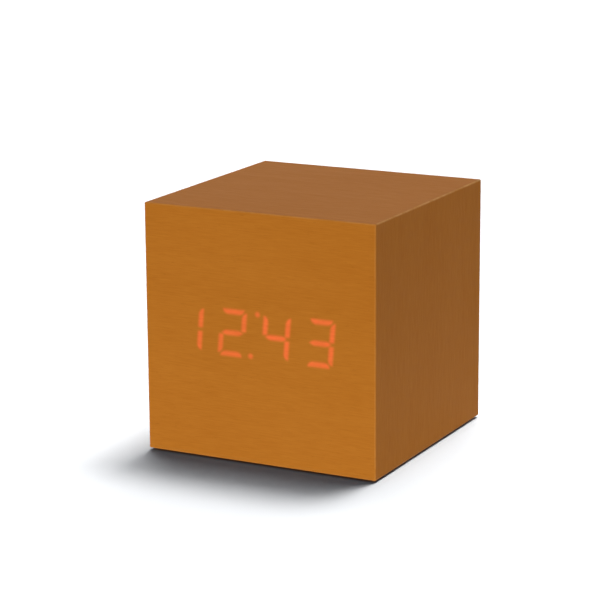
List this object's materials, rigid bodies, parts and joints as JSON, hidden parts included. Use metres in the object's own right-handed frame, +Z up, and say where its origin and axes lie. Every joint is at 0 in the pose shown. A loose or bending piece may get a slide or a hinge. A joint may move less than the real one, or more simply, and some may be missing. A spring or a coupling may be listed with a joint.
{
  "type": "digital desk clock",
  "caption": "Cube-shaped wood-effect desk clock with an LED time display behind its front skin, push buttons and a power socket in the rear, and a hinged battery door underneath.",
  "frame": {"origin": "centre of the footprint, on the surface that the foot pads stand on", "axes": "+Z up, -Y out of the display face, +X to the right of somebody who reads the time"},
  "size_m": [0.068, 0.068, 0.0686],
  "materials": {
    "wood_skin": "satin wood-effect foil with a fine grain",
    "fibreboard": "raw fibreboard",
    "white_moulding": "matt white moulding",
    "lit_resin": "cloudy resin, lit red-orange",
    "dark_resin": "cloudy resin, not lit",
    "lamp_chip": "small cast lamp body",
    "circuit_board": "green solder mask",
    "black_plastic": "fine spark-eroded texture",
    "key_plastic": "satin, engraved sign on the end",
    "part_black": "matt moulded package",
    "white_nylon": "natural nylon",
    "bright_metal": "nickel plated",
    "screw_steel": "zinc plated",
    "plated_brass": "plated contact pin",
    "capacitor_sleeve": "dark blue shrink sleeve",
    "cell_jacket": "plain printed metal jacket",
    "flat_cable": "grey flat cable",
    "red_lead": "red insulation",
    "black_lead": "black insulation",
    "pad_foam": "dense black foam"
  },
  "bodies": {
    "case": {"front_panel": "fibreboard", "top_panel": "fibreboard", "bottom_panel": "fibreboard", "left_panel": "fibreboard", "right_panel": "fibreboard", "front_skin": "wood_skin", "wrap_skin": "wood_skin", "rear_board": "fibreboard", "rear_skin": "wood_skin", "corner_blocks": "fibreboard", "rear_board_screws": "screw_steel", "foot_pads": "pad_foam", "display_reflector": "white_moulding", "lit_segments": "lit_resin", "dark_segments": "dark_resin", "colon_lenses": "lit_resin", "segment_leds": "lamp_chip", "display_board": "circuit_board", "display_standoffs": "white_nylon", "display_board_screws": "screw_steel", "display_cable": "flat_cable", "ribbon_connectors": "white_nylon", "control_plate": "black_plastic", "control_plate_screws": "screw_steel", "main_board": "circuit_board", "main_board_screws": "screw_steel", "clock_chip": "part_black", "quartz_crystal": "bright_metal", "supply_capacitor": "capacitor_sleeve", "switch_bodies": "part_black", "power_socket": "black_plastic", "socket_contact_pin": "plated_brass", "alarm_buzzer": "part_black", "clap_microphone": "bright_metal", "battery_box": "black_plastic", "battery_box_screws": "screw_steel", "battery_cell_1": "cell_jacket", "battery_cell_2": "cell_jacket", "battery_cell_3": "cell_jacket", "positive_contact": "bright_metal", "negative_contact": "bright_metal", "bridge_contact_left": "bright_metal", "bridge_contact_right": "bright_metal", "contact_springs": "bright_metal", "battery_lead_red": "red_lead", "battery_lead_black": "black_lead"},
    "door": {"battery_door": "black_plastic"},
    "set_key": {"set_button": "key_plastic", "set_plunger": "part_black"},
    "up_key": {"up_button": "key_plastic", "up_plunger": "part_black"},
    "down_key": {"down_button": "key_plastic", "down_plunger": "part_black"}
  },
  "joints": [
    {"name": "battery_door_hinge", "type": "hinge", "parent": "case", "child": "door", "pos_m": [0, -0.0175, 0.0016], "axis": [-1, 0, 0], "range_deg": [0, 90]},
    {"name": "set_key_press", "type": "slide", "parent": "case", "child": "set_key", "axis": [0, -1, 0], "range_m": [0, 0.0003], "stiffness_N_per_m": 1000, "springref_m": -0.001},
    {"name": "up_key_press", "type": "slide", "parent": "case", "child": "up_key", "axis": [0, -1, 0], "range_m": [0, 0.0003], "stiffness_N_per_m": 1000, "springref_m": -0.001},
    {"name": "down_key_press", "type": "slide", "parent": "case", "child": "down_key", "axis": [0, -1, 0], "range_m": [0, 0.0003], "stiffness_N_per_m": 1000, "springref_m": -0.001}
  ]
}
